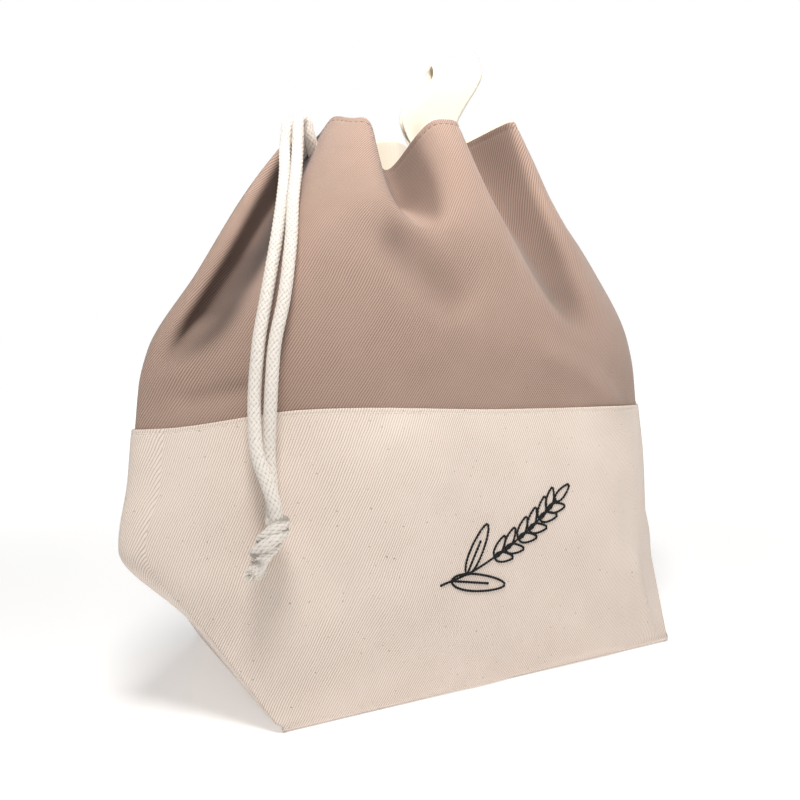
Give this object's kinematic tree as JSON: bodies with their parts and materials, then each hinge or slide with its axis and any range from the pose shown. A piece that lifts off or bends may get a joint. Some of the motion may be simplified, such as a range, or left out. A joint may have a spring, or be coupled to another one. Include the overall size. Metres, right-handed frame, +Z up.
{
  "type": "drawstring bread bag",
  "caption": "Two-tone cloth drawstring bag with a boxed base, gathered mouth, hanging loop and knotted cord, standing open.",
  "frame": {"origin": "middle of the bag's outline at the base, on the surface it stands on", "axes": "+Z up, front of the bag towards -Y, side seams to -X and +X"},
  "size_m": [0.3316, 0.1484, 0.334],
  "materials": {
    "taupe_twill": "matt twill weave",
    "cream_twill": "matt twill weave",
    "cream_cotton": "matt plain weave",
    "cotton_braid": "matt braided cotton"
  },
  "bodies": {
    "root": {"front_panel": "taupe_twill", "back_panel": "taupe_twill", "lower_cloth": "cream_twill", "lining": "cream_cotton", "hanging_loop": "cream_cotton", "cord_left": "cotton_braid", "cord_right": "cotton_braid", "cord_knot": "cotton_braid"}
  },
  "joints": []
}
